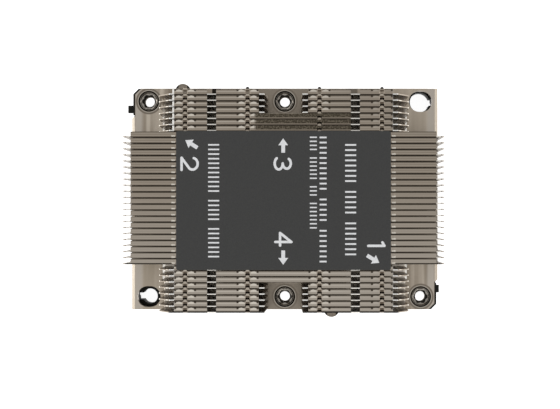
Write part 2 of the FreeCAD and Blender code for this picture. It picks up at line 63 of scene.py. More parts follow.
# Full fins reach both sides of the base, shortened ones leave room for the corner nuts
FULL_FIN_REACH = 45 * MM
FIN_NODES = [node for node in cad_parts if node.startswith("fin_")]
FULL_ROWS = [node for node in FIN_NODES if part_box(node)[1].x > FULL_FIN_REACH]
SHORT_ROWS = [node for node in FIN_NODES if node not in FULL_ROWS]

# Every place and size from here to the first function is in millimetres
fin_pitch = (fin_low.y - next_fin_low.y) / MM
fin_gap_y = (fin_low.y + next_fin_high.y) / 2 / MM
front_edge = min(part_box(node)[0].y for node in SHORT_ROWS) / MM
full_front_edge = min(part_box(node)[0].y for node in FULL_ROWS) / MM
fin_top = fin_high.z / MM
plate_top = plate_high.z / MM
SHEET_THICKNESS = 0.4
FIN_GAP = 0.18

# Middle x and end y of each pipe's nose
PIPE_WIDTH = 5.5
NOSES = [
    (rear_pipe_low.x / MM + PIPE_WIDTH / 2, rear_pipe_high.y / MM),
    (front_pipe_high.x / MM - PIPE_WIDTH / 2, front_pipe_low.y / MM),
]

# Places along the fins, counted from the middle of the heatsink
INNER_LOCK = 12.05
OUTER_LOCK = 33.0
LOCK_MIDDLE = (INNER_LOCK + OUTER_LOCK) / 2
LOCK_HALF_SPACE = (OUTER_LOCK - INNER_LOCK) / 2
SLOT_PLACE = 24.1
SLOT_HALF = 1.5
SPLIT_FLANGE_START = 8.35
BREAK_START = 36.65
BREAK_END = 37.35
SHORT_FLANGE_END = 36.7
LIP_END = 37.2
SHORT_TOP_END = 38.3
SHORT_END = 42.5
FULL_FLANGE_END = 51.3
FULL_WALL_END = 54.0

# Distances at which groups of rows start, counted from the middle row
SIDE_ROWS_FROM = 22.35
SPLIT_ROWS_FROM = 28.45
CORNER_ROWS_FROM = 30.0

# Height at which the slanted end of a shortened fin turns upright
SHORT_CORNER_HEIGHT = 19.5

# Larger than every place, and than every product of two places
FAR = 10000.0


def nut_axis(node):
    low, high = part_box(node)
    return (low.x + high.x) / 2, (low.y + high.y) / 2


# Colours and nodes


def linear_colour(hex_code):
    """An sRGB hex colour as linear red, green, blue and full alpha."""
    channels = [int(hex_code[start:start + 2], 16) / 255 for start in (1, 3, 5)]
    linear = [c / 12.92 if c <= 0.04045 else ((c + 0.055) / 1.055) ** 2.4 for c in channels]
    return (*linear, 1.0)


def add_node(tree, kind, inputs=None, **settings):
    """Add one node; inputs maps a socket's name or number to a value or to a socket to link."""
    node = tree.nodes.new(kind)
    for name, value in settings.items():
        setattr(node, name, value)
    for key, value in (inputs or {}).items():
        if isinstance(value, bpy.types.NodeSocket):
            tree.links.new(value, node.inputs[key])
        else:
            node.inputs[key].default_value = value
    return node


def colour_steps(node, steps):
    """Set a colour ramp's stops from pairs of place and hex colour."""
    ramp = node.color_ramp
    while len(ramp.elements) < len(steps):
        ramp.elements.new(1.0)
    for element, (place, hex_code) in zip(ramp.elements, steps):
        element.position = place
        element.color = linear_colour(hex_code)


def new_material(name):
    """A material without nodes, and the tree to build it in."""
    material = bpy.data.materials.new(name)
    material.use_nodes = True
    material.node_tree.nodes.clear()
    return material, material.node_tree


# Zones: parts of a surface that are painted by where they lie on the resting object


def object_millimetres(tree):
    """The x, y and z of the shaded point on the resting object, in millimetres."""
    place = add_node(tree, "ShaderNodeTexCoord")
    scaled = add_node(tree, "ShaderNodeVectorMath", {0: place.outputs["Object"], "Scale": 1 / MM},
                      operation="SCALE")
    split = add_node(tree, "ShaderNodeSeparateXYZ", {0: scaled.outputs["Vector"]})
    return split.outputs["X"], split.outputs["Y"], split.outputs["Z"]


def distance_from(tree, value, place):
    """How far a value lies from a place, on either side."""
    offset = add_node(tree, "ShaderNodeMath", {0: value, 1: place}, operation="SUBTRACT")
    return add_node(tree, "ShaderNodeMath", {0: offset.outputs[0]}, operation="ABSOLUTE").outputs[0]


def above(value, low, blur):
    """A limit: the value lies above a place, with a soft edge as wide as the blur."""
    return value, low, FAR, blur


def below(value, high, blur):
    """A limit: the value lies below a place, with a soft edge as wide as the blur."""
    return value, -FAR, high, blur


def inside(tree, limits):
    """A mask that is one where every (value, low, high, blur) limit holds."""
    mask = 1.0
    for value, low, high, blur in limits:
        rise = add_node(tree, "ShaderNodeMapRange", {
            "Value": value, "From Min": low - blur, "From Max": low,
        })
        fall = add_node(tree, "ShaderNodeMapRange", {
            "Value": value, "From Min": high, "From Max": high + blur, "To Min": 1.0, "To Max": 0.0,
        })
        both = add_node(tree, "ShaderNodeMath", {
            0: rise.outputs["Result"], 1: fall.outputs["Result"],
        }, operation="MULTIPLY")
        masked = add_node(tree, "ShaderNodeMath", {0: both.outputs[0], 1: mask}, operation="MULTIPLY")
        mask = masked.outputs[0]
    return mask


def paint_zones(tree, colour, zones):
    """Paint pairs of limits and hex colour over a colour, the later ones on top."""
    for limits, hex_code in zones:
        painted = add_node(tree, "ShaderNodeMix", {
            0: inside(tree, limits), 6: colour, 7: linear_colour(hex_code),
        }, data_type="RGBA")
        colour = painted.outputs[2]
    return colour


# Metal of the fins


class FinPlaces:
    """Where a shaded point lies on the fins, as values of one material's tree.

    side and depth are distances from the middle planes. from_lock and from_slot are distances
    along the fin. phase is the share of a fin's pitch behind the point, and 0 and 1 are the gap
    between two flanges. specks is a noise as coarse as crumbs of solder.
    """

    def __init__(self, tree):
        self.x, self.y, self.z = object_millimetres(tree)
        self.side = distance_from(tree, self.x, 0.0)
        self.depth = distance_from(tree, self.y, 0.0)
        from_lock_middle = distance_from(tree, self.side, LOCK_MIDDLE)
        self.from_lock = distance_from(tree, from_lock_middle, LOCK_HALF_SPACE)
        self.from_slot = distance_from(tree, self.side, SLOT_PLACE)
        to_gap = add_node(tree, "ShaderNodeMath", {0: fin_gap_y, 1: self.y}, operation="SUBTRACT")
        pitches = add_node(tree, "ShaderNodeMath", {
            0: to_gap.outputs[0], 1: fin_pitch,
        }, operation="DIVIDE")
        phase = add_node(tree, "ShaderNodeMath", {0: pitches.outputs[0]}, operation="FRACT")
        self.phase = phase.outputs[0]
        speck_size = 0.5 * MM
        place = add_node(tree, "ShaderNodeTexCoord")
        specks = add_node(tree, "ShaderNodeTexNoise", {
            "Vector": place.outputs["Object"], "Scale": 1 / speck_size, "Detail": 1.0,
        })
        self.specks = specks.outputs["Fac"]

        # Limits that several zones share
        self.top = above(self.z, fin_top - 0.3, 0.1)
        self.side_rows = above(self.depth, SIDE_ROWS_FROM, 0.01)
        self.full_rows = below(self.depth, SIDE_ROWS_FROM, 0.01)
        self.inner_walls = (self.y, -38.1, 34.7, 0.02)
        self.in_slot = below(self.from_slot, SLOT_HALF, 0.05)
        self.above_foot = above(self.z, plate_top + 1.0, 0.2)


def lock_zones(tree, at):
    """Painted light on the front rows' flanges, and on the side rows' locks with their raised pads."""
    # Painted light: the middles of the flanges are painted lighter towards the front
    front_half = below(at.y, -24.0, 30.0)
    flange_middle = (at.phase, 0.2, 0.8, 0.08)

    # A pad shows as a painted highlight, a bright half ellipse beside the lock, brightest at the left
    pad_start = 0.9
    pad_end = 3.3
    pad_rear = 0.14
    pad_front = 0.44
    along_pad = add_node(tree, "ShaderNodeMapRange", {
        "Value": at.from_lock, "From Min": pad_start, "From Max": pad_end, "To Min": -1.0, "To Max": 1.0,
    })
    across_pad = add_node(tree, "ShaderNodeMapRange", {
        "Value": at.phase, "From Min": pad_rear, "From Max": pad_front, "To Min": 1.0, "To Max": 0.0,
    })
    pad_place = add_node(tree, "ShaderNodeCombineXYZ", {
        "X": along_pad.outputs["Result"], "Y": across_pad.outputs["Result"],
    })
    from_pad = add_node(tree, "ShaderNodeVectorMath", {0: pad_place.outputs[0]}, operation="LENGTH")
    pad_highlight = below(from_pad.outputs["Value"], 0.95, 0.12)
    pad_phases = (at.phase, 0.1, 0.46, 0.05)
    left_half = below(at.x, 5.0, 34.0)

    # Painted shade in the notches beyond the pads and in the locks' windows, and painted highlights on the
    # tabs' roots, tips and cut edges
    beyond_pad = (at.from_lock, 3.1, 3.6, 0.2)
    notch_shade_phases = (at.phase, 0.05, 0.34, 0.06)
    in_lock = below(at.from_lock, 0.6, 0.15)
    window_shade_phases = (at.phase, 0.1, 0.75, 0.05)
    tab_root = above(at.phase, 0.9, 0.05)
    tab_tip = below(at.phase, 0.1, 0.05)
    tab_edge_glint = (at.from_lock, 0.7, 0.85, 0.12)
    tab_phases = (at.phase, 0.12, 0.8, 0.1)
    return [
        ([at.top, front_half, flange_middle], "#B3AA9E"),
        ([at.top, at.side_rows, pad_highlight, pad_phases, left_half], "#E6DED1"),
        ([at.top, at.side_rows, beyond_pad, notch_shade_phases], "#4A4239"),
        ([at.top, at.side_rows, in_lock, window_shade_phases], "#6A5F53"),
        ([at.top, at.side_rows, in_lock, tab_root], "#C9BFB0"),
        ([at.top, at.side_rows, in_lock, tab_tip], "#C9BFB0"),
        ([at.top, at.side_rows, tab_edge_glint, tab_phases], "#B7AB9C"),
    ]


def slot_zones(at):
    """Slots of the side rows: painted shade in the gaps, specks of light on the feet, and painted light on
    the walls and rims.
    """
    foot = below(at.z, plate_top + 1.0, 0.2)
    light_specks = above(at.specks, 0.5, 0.1)
    # The walls beside the slots are painted bright as painted light, and the rims get a painted highlight
    under_flange = below(at.z, fin_top - 0.5, 0.2)
    near_slot = below(at.from_slot, 2.2, 0.5)
    rim_highlight_phases = (at.phase, 0.8, 0.97, 0.03)
    return [
        ([at.top, at.side_rows, at.in_slot], "#2A251F"),
        ([at.side_rows, foot, at.in_slot, light_specks], "#B7AD9F"),
        ([at.inner_walls, at.side_rows, under_flange, near_slot], "#E9E4DA"),
        ([at.top, at.side_rows, at.in_slot, rim_highlight_phases], "#F4F0E8"),
    ]


def short_end_zones(at):
    """Slanted ends of the shortened fins and of the fins split by the middle nuts, with painted light."""
    # Painted light: the feet in deep shade are painted bright, and painted highlights lie on the walls'
    # dashes, corners and top edges and on the split flanges' ends
    foot = below(at.z, plate_top + 0.6, 0.1)
    foot_end = above(at.side, 37.5, 0.5)
    slanted_end = above(at.side, SHORT_TOP_END, 0.3)
    dash = (at.side, 38.9, 39.6, 0.2)
    near_corner = above(at.z, SHORT_CORNER_HEIGHT - 1.0, 0.3)
    corner_end = above(at.side, SHORT_END - 0.35, 0.1)
    near_top = above(at.z, fin_top - 2.5, 0.5)
    top_edge = (at.side, SHORT_FLANGE_END, SHORT_TOP_END + 0.1, 0.08)
    split_rows = above(at.depth, SPLIT_ROWS_FROM, 0.01)
    split_end = below(at.side, SPLIT_FLANGE_START - 0.25, 0.1)
    return [
        ([at.side_rows, foot, foot_end], "#F6EFE4"),
        ([at.side_rows, at.above_foot, slanted_end], "#A09587"),
        ([at.side_rows, at.inner_walls, at.above_foot, dash], "#DDD5C9"),
        ([at.side_rows, at.inner_walls, near_corner, corner_end], "#F3ECE1"),
        ([at.side_rows, near_top, top_edge], "#FFFDF8"),
        ([near_top, split_rows, split_end], "#FFFDF8"),
    ]


def row_zones(at):
    """Painted highlights on dashes beside the label and on the full fins' ends, and the shaded rows behind
    the label.
    """
    beside_label = (at.side, 36.5, 37.5, 0.2)
    dash_phases = (at.phase, 0.66, 0.84, 0.06)
    wall_end = (at.side, FULL_FLANGE_END + 0.05, FULL_WALL_END - 1.3, 0.1)
    upper_wall = above(at.z, fin_top - 1.5, 6.0)
    inner_rows = (at.depth, SIDE_ROWS_FROM, SPLIT_ROWS_FROM, 0.01)
    shaded_span = (at.x, -9.0, 23.0, 1.0)
    rear_half = above(at.y, 0.0, 0.1)
    shade_phases = (at.phase, 0.05, 0.72, 0.04)
    # Darker specks within the painted shade of these rows
    dark_speck_phases = (at.phase, 0.1, 0.66, 0.04)
    dark_specks = above(at.specks, 0.5, 0.08)
    return [
        ([at.top, at.full_rows, beside_label, dash_phases], "#E6DFD3"),
        ([at.full_rows, wall_end, upper_wall], "#F4EFE6"),
        ([at.top, inner_rows, shaded_span, rear_half, shade_phases], "#776E60"),
        ([at.top, inner_rows, shaded_span, rear_half, dark_speck_phases, dark_specks], "#4C453A"),
    ]


def edge_zones(at):
    """Painted shade on the outer edges at the rear and front, and painted light on the foot in the front
    slots.
    """
    rear_edge = above(at.y, 36.65, 0.05)
    past_rear_left = above(at.x, -30.0, 0.1)
    front_rim = below(at.y, front_edge + 0.5, 0.1)
    beside_slots = above(at.from_slot, SLOT_HALF, 0.1)
    full_front_rim = (at.y, full_front_edge - 0.1, full_front_edge + 0.4, 0.1)
    beside_short_rows = above(at.side, 37.5, 0.2)
    front_row = below(at.y, front_edge + 2.0, 0.1)
    foot = below(at.z, plate_top + 1.0, 0.2)
    front_slots = below(at.from_slot, SLOT_HALF, 0.1)
    return [
        ([rear_edge, past_rear_left], "#1C1915"),
        ([at.top, front_rim, beside_slots], "#1E1B18"),
        ([at.top, full_front_rim, beside_short_rows], "#39332C"),
        ([front_row, foot, front_slots], "#FFFFFF"),
    ]


def nickel_plated_sheet():
    """Thin aluminium sheet, cold rolled, folded and nickel plated so that it takes solder.

    Rolling leaves fine lines along the fins. The folded flanges carry painted shade where two fins
    meet, and painted highlights across them, on the pressed pads beside the locks and at every cut edge.
    """
    material, tree = new_material("nickel_plated_aluminium_sheet")
    # The rolled lines are finer on the real sheet, and are drawn this wide so that they show
    line_length = 9 * MM
    line_width = 0.35 * MM
    line_depth = 0.05 * MM
    line_share = 0.35
    at = FinPlaces(tree)
    place = add_node(tree, "ShaderNodeTexCoord")
    stretched = add_node(tree, "ShaderNodeMapping", {
        "Vector": place.outputs["Object"],
        "Scale": (1 / line_length, 1 / line_width, 1 / line_width),
    })
    lines = add_node(tree, "ShaderNodeTexNoise", {
        "Vector": stretched.outputs[0], "Scale": 1.0, "Detail": 3.0,
    })
    wall_tone = add_node(tree, "ShaderNodeValToRGB", {"Fac": lines.outputs["Fac"]})
    colour_steps(wall_tone, [(0.3, "#8A8074"), (0.52, "#9A9084"), (0.72, "#B0A699")])
    # Painted shade darkens each flange at the gap and at its bend, and painted highlights brighten bands
    # across it
    flange_shade_and_highlights = add_node(tree, "ShaderNodeValToRGB", {"Fac": at.phase})
    colour_steps(flange_shade_and_highlights, [
        (0.0, "#1E1B18"), (0.06, "#2E2A25"), (0.13, "#7E756A"), (0.24, "#A89F93"), (0.36, "#B2A99D"),
        (0.5, "#988E81"), (0.66, "#B6ADA1"), (0.78, "#A89E92"), (0.86, "#7E756A"), (0.93, "#2E2A25"),
        (1.0, "#1E1B18"),
    ])
    flange_colour = add_node(tree, "ShaderNodeMix", {
        0: line_share, 6: flange_shade_and_highlights.outputs["Color"], 7: wall_tone.outputs["Color"],
    }, data_type="RGBA", blend_type="SOFT_LIGHT")
    normal = add_node(tree, "ShaderNodeSeparateXYZ", {0: place.outputs["Normal"]})
    facing_up = above(normal.outputs["Z"], 0.35, 0.2)
    bare_colour = add_node(tree, "ShaderNodeMix", {
        0: inside(tree, [at.top, facing_up]),
        6: wall_tone.outputs["Color"],
        7: flange_colour.outputs[2],
    }, data_type="RGBA")
    colour = paint_zones(tree, bare_colour.outputs[2], [
        *lock_zones(tree, at), *slot_zones(at), *short_end_zones(at), *row_zones(at), *edge_zones(at),
    ])
    roughness = add_node(tree, "ShaderNodeMapRange", {
        "Value": lines.outputs["Fac"], "To Min": 0.24, "To Max": 0.4,
    })
    relief = add_node(tree, "ShaderNodeBump", {
        "Height": lines.outputs["Fac"], "Strength": 0.12, "Distance": line_depth,
    })
    shader = add_node(tree, "ShaderNodeBsdfPrincipled", {
        "Base Color": colour,
        "Metallic": 1.0,
        "Roughness": roughness.outputs["Result"],
        "Normal": relief.outputs["Normal"],
    })
    add_node(tree, "ShaderNodeOutputMaterial", {"Surface": shader.outputs[0]})
    return material


# Metal of the plate


def distance_from_nuts(tree, x, y):
    """How far the shaded point lies from the nearest nut's axis, seen from above."""
    flat_place = add_node(tree, "ShaderNodeCombineXYZ", {"X": x, "Y": y})
    nearest = FAR
    for node in NUTS:
        axis_x, axis_y = nut_axis(node)
        reach = add_node(tree, "ShaderNodeVectorMath", {
            0: flat_place.outputs[0], 1: (axis_x / MM, axis_y / MM, 0.0),
        }, operation="DISTANCE")
        nearer = add_node(tree, "ShaderNodeMath", {
            0: reach.outputs["Value"], 1: nearest,
        }, operation="MINIMUM")
        nearest = nearer.outputs[0]
    return nearest


def plate_zones(tree):
    """Painted shade between the fins, light and dark parts of the rim, the nuts' seats and the contact
    face.
    """
    x, y, z = object_millimetres(tree)
    side = distance_from(tree, x, 0.0)
    depth = distance_from(tree, y, 0.0)
    from_slot = distance_from(tree, side, SLOT_PLACE)
    from_nut = distance_from_nuts(tree, x, y)

    # One is large at the rear left and front right corners, the other at the rear right and
    # front left ones
    across = add_node(tree, "ShaderNodeMath", {0: y, 1: x}, operation="SUBTRACT")
    to_latch = distance_from(tree, across.outputs[0], 0.0)
    product = add_node(tree, "ShaderNodeMath", {0: x, 1: y}, operation="MULTIPLY")
    to_ear = product.outputs[0]

    top = above(z, plate_top - 0.4, 0.1)
    # Painted shade between the walls' ends and behind the slots; the plate is painted lighter towards the
    # rear right and front left corners and on the outer strips, as painted light
    between_ends = [(side, 36.5, SHORT_END - 0.5, 0.2), (depth, SIDE_ROWS_FROM, 36.4, 0.1)]
    behind_slots = [below(from_slot, SLOT_HALF, 0.2), (y, 36.9, 38.9, 0.1)]
    ear = above(to_ear, 2600.0, 2600.0)
    outer_strip = (side, 50.8, 52.4, 1.0)
    latch_line = [above(to_latch, 82.2, 0.1), (side, 52.85, 53.3, 0.05)]
    latch_corner = above(to_latch, 89.75, 0.1)
    nut_room = [below(side, 12.0, 4.0), above(depth, 30.0, 1.0)]
    # Painted shade in and round each nut's seat and bore, and a painted highlight on the seat's rim
    seat = (from_nut, 3.4, 4.5, 0.2)
    seat_rim_highlight = (from_nut, 3.78, 3.92, 0.08)
    bore_mouth_shade = below(from_nut, 3.6, 0.1)
    bore = [below(z, plate_top - 0.6, 0.2), below(from_nut, 4.0, 0.1)]
    contact_face = below(z, 0.3, 0.2)
    return [
        (between_ends, "#574E44"),
        (behind_slots, "#2B2620"),
        ([top, ear], "#C6BAA9"),
        ([top, outer_strip], "#C3BAAE"),
        ([top, *latch_line], "#2F2A23"),
        ([top, latch_corner], "#2F2A23"),
        ([top, *nut_room], "#978D80"),
        ([top, seat], "#857B6F"),
        ([top, seat_rim_highlight], "#C4BCAF"),
        ([top, bore_mouth_shade], "#15130F"),
        (bore, "#15130F"),
        ([contact_face], "#B5AB9D"),
    ]


def nickel_plated_plate():
    """Milled copper plate under satin nickel.

    The eye reads it by soft streaks across the fins, and by painted highlights on the rims where the
    seats of the nuts are countersunk.
    """
    material, tree = new_material("satin_nickel_plated_copper")
    streak_width = 3 * MM
    streak_length = 50 * MM
    # The satin grain is finer on the real plate, and is drawn this coarse so that it shows
    grain_size = 0.4 * MM
    grain_depth = 0.05 * MM
    place = add_node(tree, "ShaderNodeTexCoord")
    stretched = add_node(tree, "ShaderNodeMapping", {
        "Vector": place.outputs["Object"],
        "Scale": (1 / streak_width, 1 / streak_length, 1 / streak_length),
    })
    streaks = add_node(tree, "ShaderNodeTexNoise", {
        "Vector": stretched.outputs[0], "Scale": 1.0, "Detail": 2.0,
    })
    tone = add_node(tree, "ShaderNodeValToRGB", {"Fac": streaks.outputs["Fac"]})
    colour_steps(tone, [(0.32, "#8F8373"), (0.5, "#AB9F90"), (0.66, "#CEC3B3")])
    grain = add_node(tree, "ShaderNodeTexNoise", {
        "Vector": place.outputs["Object"], "Scale": 1 / grain_size, "Detail": 2.0,
    })
    roughness = add_node(tree, "ShaderNodeMapRange", {
        "Value": grain.outputs["Fac"], "To Min": 0.26, "To Max": 0.42,
    })
    relief = add_node(tree, "ShaderNodeBump", {
        "Height": grain.outputs["Fac"], "Strength": 0.1, "Distance": grain_depth,
    })
    shader = add_node(tree, "ShaderNodeBsdfPrincipled", {
        "Base Color": paint_zones(tree, tone.outputs["Color"], plate_zones(tree)),
        "Metallic": 1.0,
        "Roughness": roughness.outputs["Result"],
        "Normal": relief.outputs["Normal"],
    })
    add_node(tree, "ShaderNodeOutputMaterial", {"Surface": shader.outputs[0]})
    return material


# Other materials


def plain_metal(name, low_hex, high_hex, roughness, grain_size, shaded_depths=None):
    """A bright metal whose tone drifts a little with its grain.

    The grain is finer on the real metal, and is drawn so coarse that it shows. The last argument
    gives two heights between which the metal is painted dark, as painted shade in a recess.
    """
    material, tree = new_material(name)
    grain_depth = 0.04 * MM
    place = add_node(tree, "ShaderNodeTexCoord")
    grain = add_node(tree, "ShaderNodeTexNoise", {
        "Vector": place.outputs["Object"], "Scale": 1 / grain_size, "Detail": 3.0,
    })
    tone = add_node(tree, "ShaderNodeValToRGB", {"Fac": grain.outputs["Fac"]})
    colour_steps(tone, [(0.35, low_hex), (0.65, high_hex)])
    colour = tone.outputs["Color"]
    if shaded_depths:
        # Painted shade between the two heights
        _, _, z = object_millimetres(tree)
        colour = paint_zones(tree, colour, [([(z, *shaded_depths, 0.05)], "#2E2B26")])
    relief = add_node(tree, "ShaderNodeBump", {
        "Height": grain.outputs["Fac"], "Strength": 0.08, "Distance": grain_depth,
    })
    shader = add_node(tree, "ShaderNodeBsdfPrincipled", {
        "Base Color": colour,
        "Metallic": 1.0,
        "Roughness": roughness,
        "Normal": relief.outputs["Normal"],
    })
    add_node(tree, "ShaderNodeOutputMaterial", {"Surface": shader.outputs[0]})
    return material


def nickel_plated_tube():
    """Copper tube flattened in a press and nickel plated. Its nose is pinched shut at both sides,
    where painted shade darkens it."""
    material, tree = new_material("nickel_plated_copper_tube")
    # The plating's grain is finer in reality, and is drawn this coarse so that it shows
    grain_size = 1.0 * MM
    grain_depth = 0.04 * MM
    place = add_node(tree, "ShaderNodeTexCoord")
    x, y, _ = object_millimetres(tree)
    grain = add_node(tree, "ShaderNodeTexNoise", {
        "Vector": place.outputs["Object"], "Scale": 1 / grain_size, "Detail": 3.0,
    })
    tone = add_node(tree, "ShaderNodeValToRGB", {"Fac": grain.outputs["Fac"]})
    colour_steps(tone, [(0.35, "#776E63"), (0.65, "#9A9084")])
    zones = []
    for nose_x, nose_end in NOSES:
        from_middle = distance_from(tree, x, nose_x)
        from_end = distance_from(tree, y, nose_end)
        # A seam at the nose's end, and painted shade at its pinched sides
        seam = [below(from_end, 0.45, 0.2), below(from_middle, 1.0, 0.4)]
        pinch_shade = [(from_end, 0.75, 1.5, 0.1), (from_middle, 1.6, 2.5, 0.1)]
        zones.append((seam, "#8F867A"))
        zones.append((pinch_shade, "#15130F"))
    relief = add_node(tree, "ShaderNodeBump", {
        "Height": grain.outputs["Fac"], "Strength": 0.08, "Distance": grain_depth,
    })
    shader = add_node(tree, "ShaderNodeBsdfPrincipled", {
        "Base Color": paint_zones(tree, tone.outputs["Color"], zones),
        "Metallic": 1.0,
        "Roughness": 0.3,
        "Normal": relief.outputs["Normal"],
    })
    add_node(tree, "ShaderNodeOutputMaterial", {"Surface": shader.outputs[0]})
    return material


def black_moulded_plastic():
    """Glass-filled black plastic from a spark-eroded mould, matt and even to the eye."""
    material, tree = new_material("black_glass_filled_plastic")
    # The mould's grain is finer in reality, and is drawn this coarse so that it shows
    grain_size = 0.25 * MM
    grain_depth = 0.04 * MM
    place = add_node(tree, "ShaderNodeTexCoord")
    grain = add_node(tree, "ShaderNodeTexNoise", {
        "Vector": place.outputs["Object"], "Scale": 1 / grain_size, "Detail": 2.0,
    })
    tone = add_node(tree, "ShaderNodeValToRGB", {"Fac": grain.outputs["Fac"]})
    colour_steps(tone, [(0.3, "#141410"), (0.7, "#1F1F1A")])
    relief = add_node(tree, "ShaderNodeBump", {
        "Height": grain.outputs["Fac"], "Strength": 0.25, "Distance": grain_depth,
    })
    shader = add_node(tree, "ShaderNodeBsdfPrincipled", {
        "Base Color": tone.outputs["Color"],
        "Roughness": 0.55,
        "IOR": 1.5,
        "Specular IOR Level": 0.15,
        "Normal": relief.outputs["Normal"],
    })
    add_node(tree, "ShaderNodeOutputMaterial", {"Surface": shader.outputs[0]})
    return material


def label_film():
    """Dark grey polyester film, calendered with a fine tooth that takes ink and keeps it matt."""
    material, tree = new_material("dark_grey_polyester_film")
    # The tooth is finer on the real film, and is drawn this coarse so that it shows
    tooth_size = 0.3 * MM
    tooth_depth = 0.02 * MM
    place = add_node(tree, "ShaderNodeTexCoord")
    tooth = add_node(tree, "ShaderNodeTexNoise", {
        "Vector": place.outputs["Object"], "Scale": 1 / tooth_size, "Detail": 2.0,
    })
    tone = add_node(tree, "ShaderNodeValToRGB", {"Fac": tooth.outputs["Fac"]})
    colour_steps(tone, [(0.3, "#3F3F3F"), (0.7, "#454544")])
    relief = add_node(tree, "ShaderNodeBump", {
        "Height": tooth.outputs["Fac"], "Strength": 0.1, "Distance": tooth_depth,
    })
    shader = add_node(tree, "ShaderNodeBsdfPrincipled", {
        "Base Color": tone.outputs["Color"],
        "Roughness": 0.6,
        "IOR": 1.5,
        "Specular IOR Level": 0.15,
        "Normal": relief.outputs["Normal"],
    })
    add_node(tree, "ShaderNodeOutputMaterial", {"Surface": shader.outputs[0]})
    return material


def white_ink():
    """White screen-printed ink, a little uneven in cover."""
    material, tree = new_material("white_screen_ink")
    patch_size = 0.6 * MM
    place = add_node(tree, "ShaderNodeTexCoord")
    patches = add_node(tree, "ShaderNodeTexNoise", {
        "Vector": place.outputs["Object"], "Scale": 1 / patch_size, "Detail": 1.0,
    })
    tone = add_node(tree, "ShaderNodeValToRGB", {"Fac": patches.outputs["Fac"]})
    colour_steps(tone, [(0.3, "#DFE0E2"), (0.7, "#EDEEEF")])
    shader = add_node(tree, "ShaderNodeBsdfPrincipled", {
        "Base Color": tone.outputs["Color"],
        "Roughness": 0.7,
        "IOR": 1.5,
        "Specular IOR Level": 0.2,
    })
    add_node(tree, "ShaderNodeOutputMaterial", {"Surface": shader.outputs[0]})
    return material


def white_paper():
    """Seamless white paper: white where it is seen or mirrored, and shaded round the object."""
    material, tree = new_material("white_backdrop_paper")
    paper_glow = 0.9
    light_path = add_node(tree, "ShaderNodeLightPath")
    seen = add_node(tree, "ShaderNodeMath", {
        0: light_path.outputs["Is Camera Ray"], 1: light_path.outputs["Is Glossy Ray"],
    }, operation="MAXIMUM")
    seen_through = add_node(tree, "ShaderNodeMath", {
        0: seen.outputs[0], 1: light_path.outputs["Is Transmission Ray"],
    }, operation="MAXIMUM")
    glow_strength = add_node(tree, "ShaderNodeMath", {
        0: seen_through.outputs[0], 1: paper_glow,
    }, operation="MULTIPLY")
    paper = add_node(tree, "ShaderNodeBsdfDiffuse", {"Color": linear_colour("#EFEFEF")})
    glow = add_node(tree, "ShaderNodeEmission", {"Strength": glow_strength.outputs[0]})
    shader = add_node(tree, "ShaderNodeAddShader", {0: paper.outputs[0], 1: glow.outputs[0]})
    add_node(tree, "ShaderNodeOutputMaterial", {"Surface": shader.outputs[0]})
    return material


SHEET = nickel_plated_sheet()
PLATE = nickel_plated_plate()
PIPE = nickel_plated_tube()
PLASTIC = black_moulded_plastic()
FILM = label_film()
INK = white_ink()

# Steel turned on a lathe and nickel plated: grey and clean, with bright rims and painted shade in its
# drive
NUT_SHADED_DEPTHS = (plate_top - 2.9, plate_top - 0.5)
NUT_STEEL = plain_metal("turned_nickel_steel", "#8C867D", "#A8A299", 0.25, 0.8 * MM, NUT_SHADED_DEPTHS)

# Stamped and oiled spring steel: darker than all other metal here, and a little dull
SPRING_STEEL = plain_metal("oiled_spring_steel", "#55524C", "#6E6A62", 0.35, 0.8 * MM)

# Tin solder that has run and set: nearly white, with a soft shine
SOLDER = plain_metal("bright_tin_solder", "#F1ECE3", "#FFFDF8", 0.3, 0.5 * MM)


# CAD pieces that keep their shape

FACET_JOIN = 0.001 * MM
SHARP_FROM = math.radians(40)


def dress_node(node, material, edge_width, segments):
    """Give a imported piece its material, and soften its edges."""
    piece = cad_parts[node]
    piece.data.materials.clear()
    piece.data.materials.append(material)
    weld = piece.modifiers.new("joined_facets", "WELD")
    weld.merge_threshold = FACET_JOIN
    softened = piece.modifiers.new("softened_edges", "BEVEL")
    softened.width = edge_width
    softened.segments = segments
    softened.limit_method = "ANGLE"
    softened.angle_limit = SHARP_FROM


for fin_node in FIN_NODES:
    dress_node(fin_node, SHEET, 0.13 * MM, 2)
dress_node("base_plate", PLATE, 0.15 * MM, 2)
dress_node("heat_pipe_rear", PIPE, 0.9 * MM, 3)
dress_node("heat_pipe_front", PIPE, 0.9 * MM, 3)
dress_node("processor_carrier", PLASTIC, 0.12 * MM, 2)


# Pieces built here


def new_piece(name, material, body, slot, build, *details):
    """A mesh piece that rides on one body of the frame; build fills it from the details."""
    mesh = bpy.data.meshes.new(name)
    shape = bmesh.new()
    build(shape, *details)
    bmesh.ops.recalc_face_normals(shape, faces=shape.faces)
    shape.to_mesh(mesh)
    shape.free()
    mesh.materials.append(material)
    piece = bpy.data.objects.new(name, mesh)
    bpy.context.scene.collection.objects.link(piece)
    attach(piece, body)
    return piece


def ring_of_points(shape, centre, radius_at, z, count):
    """A closed ring of vertices whose radius may change with the angle."""
    points = []
    for step in range(count):
        angle = step * math.tau / count
        radius = radius_at(angle)
        x = centre[0] + radius * math.cos(angle)
        y = centre[1] + radius * math.sin(angle)
        points.append(shape.verts.new((x, y, z)))
    return points


def join_rings(shape, first, second):
    count = len(first)
    for step in range(count):
        following = (step + 1) % count
        shape.faces.new((first[step], first[following], second[following], second[step]))


def extrude_outline(shape, outline, low, high):
    """A flat piece with upright sides from a list of x, y corners."""
    bottom = [shape.verts.new((x, y, low)) for x, y in outline]
    top = [shape.verts.new((x, y, high)) for x, y in outline]
    join_rings(shape, bottom, top)
    shape.faces.new(bottom)
    shape.faces.new(top)


